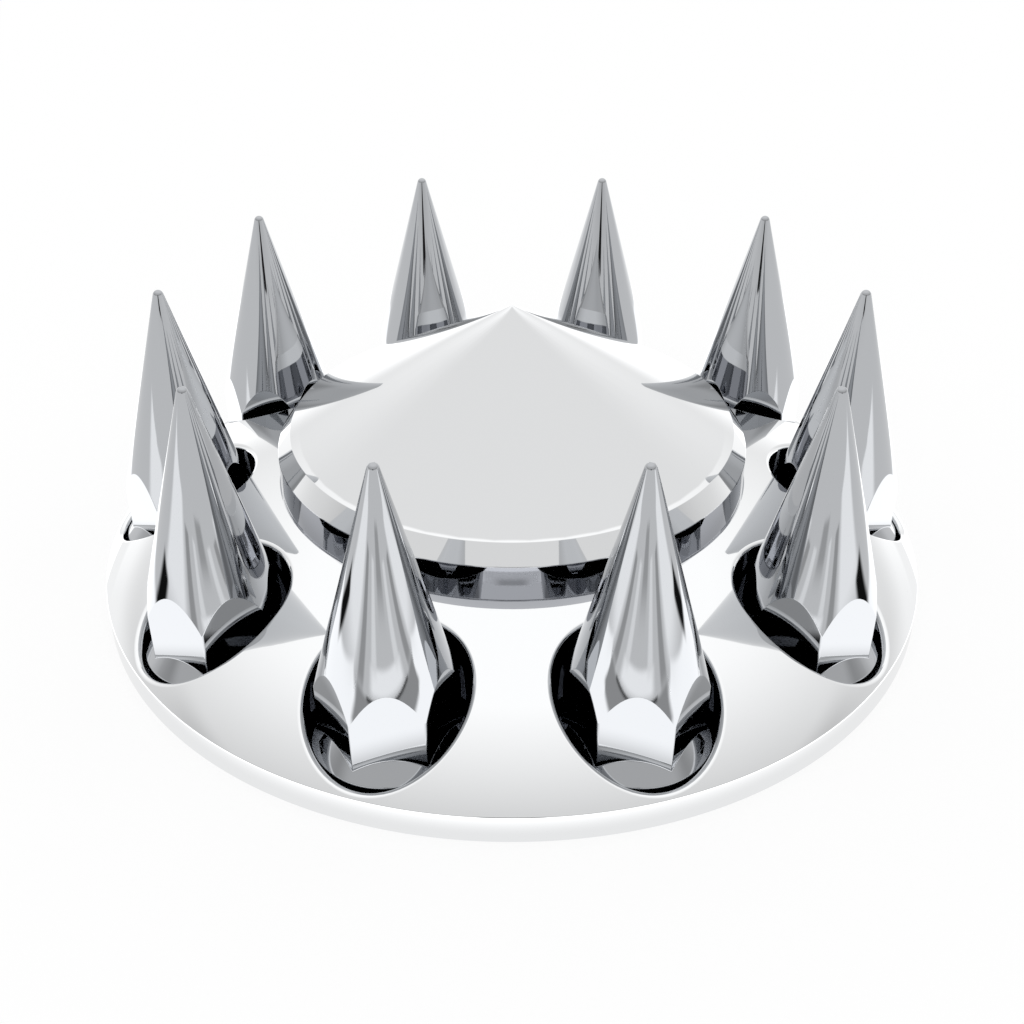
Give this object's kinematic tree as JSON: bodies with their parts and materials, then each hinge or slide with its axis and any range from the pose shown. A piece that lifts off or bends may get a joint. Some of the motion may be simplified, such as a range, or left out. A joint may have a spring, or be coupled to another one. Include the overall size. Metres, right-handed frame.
{
  "type": "truck front axle cover",
  "caption": "Chromed dish-shaped cover for a truck's front wheel hub, with a pointed pull-off centre cap and tall spiked covers that screw on over the lug nuts.",
  "frame": {"origin": "centre of the skirt's lower edge, the plane that the cover rests on", "axes": "+Z along the wheel's axis, away from the wheel and out of the pointed cap; +X through the centre of one lug; the picture looks along +Y"},
  "size_m": [0.354, 0.354, 0.1269],
  "materials": {
    "chrome_dish": "polished chrome plating on moulded ABS",
    "chrome_cap": "polished chrome plating on moulded ABS",
    "chrome_spike": "polished chrome plating on moulded ABS",
    "black_sleeve": "satin moulded black plastic"
  },
  "bodies": {
    "cover": {"cover": "chrome_dish", "nut_sleeve_01": "black_sleeve", "nut_sleeve_02": "black_sleeve", "nut_sleeve_03": "black_sleeve", "nut_sleeve_04": "black_sleeve", "nut_sleeve_05": "black_sleeve", "nut_sleeve_06": "black_sleeve", "nut_sleeve_07": "black_sleeve", "nut_sleeve_08": "black_sleeve", "nut_sleeve_09": "black_sleeve", "nut_sleeve_10": "black_sleeve"},
    "hub_cap": {"hub_cap": "chrome_cap"},
    "nut_cover_01": {"nut_cover_01": "chrome_spike"},
    "nut_cover_02": {"nut_cover_02": "chrome_spike"},
    "nut_cover_03": {"nut_cover_03": "chrome_spike"},
    "nut_cover_04": {"nut_cover_04": "chrome_spike"},
    "nut_cover_05": {"nut_cover_05": "chrome_spike"},
    "nut_cover_06": {"nut_cover_06": "chrome_spike"},
    "nut_cover_07": {"nut_cover_07": "chrome_spike"},
    "nut_cover_08": {"nut_cover_08": "chrome_spike"},
    "nut_cover_09": {"nut_cover_09": "chrome_spike"},
    "nut_cover_10": {"nut_cover_10": "chrome_spike"}
  },
  "joints": [
    {"name": "cap_pull_off", "type": "slide", "parent": "cover", "child": "hub_cap", "axis": [0, 0, 1], "range_m": [0, 0.1]},
    {"name": "nut_cover_01_turn", "type": "hinge", "parent": "cover", "child": "nut_cover_01", "pos_m": [0.14288, 0, 0.0062], "axis": [0, 0, 1], "continuous": true},
    {"name": "nut_cover_02_turn", "type": "hinge", "parent": "cover", "child": "nut_cover_02", "pos_m": [0.11559, 0.08398, 0.0062], "axis": [0, 0, 1], "continuous": true},
    {"name": "nut_cover_03_turn", "type": "hinge", "parent": "cover", "child": "nut_cover_03", "pos_m": [0.04415, 0.13588, 0.0062], "axis": [0, 0, 1], "continuous": true},
    {"name": "nut_cover_04_turn", "type": "hinge", "parent": "cover", "child": "nut_cover_04", "pos_m": [-0.04415, 0.13588, 0.0062], "axis": [0, 0, 1], "continuous": true},
    {"name": "nut_cover_05_turn", "type": "hinge", "parent": "cover", "child": "nut_cover_05", "pos_m": [-0.11559, 0.08398, 0.0062], "axis": [0, 0, 1], "continuous": true},
    {"name": "nut_cover_06_turn", "type": "hinge", "parent": "cover", "child": "nut_cover_06", "pos_m": [-0.14288, 0, 0.0062], "axis": [0, 0, 1], "continuous": true},
    {"name": "nut_cover_07_turn", "type": "hinge", "parent": "cover", "child": "nut_cover_07", "pos_m": [-0.11559, -0.08398, 0.0062], "axis": [0, 0, 1], "continuous": true},
    {"name": "nut_cover_08_turn", "type": "hinge", "parent": "cover", "child": "nut_cover_08", "pos_m": [-0.04415, -0.13588, 0.0062], "axis": [0, 0, 1], "continuous": true},
    {"name": "nut_cover_09_turn", "type": "hinge", "parent": "cover", "child": "nut_cover_09", "pos_m": [0.04415, -0.13588, 0.0062], "axis": [0, 0, 1], "continuous": true},
    {"name": "nut_cover_10_turn", "type": "hinge", "parent": "cover", "child": "nut_cover_10", "pos_m": [0.11559, -0.08398, 0.0062], "axis": [0, 0, 1], "continuous": true}
  ]
}
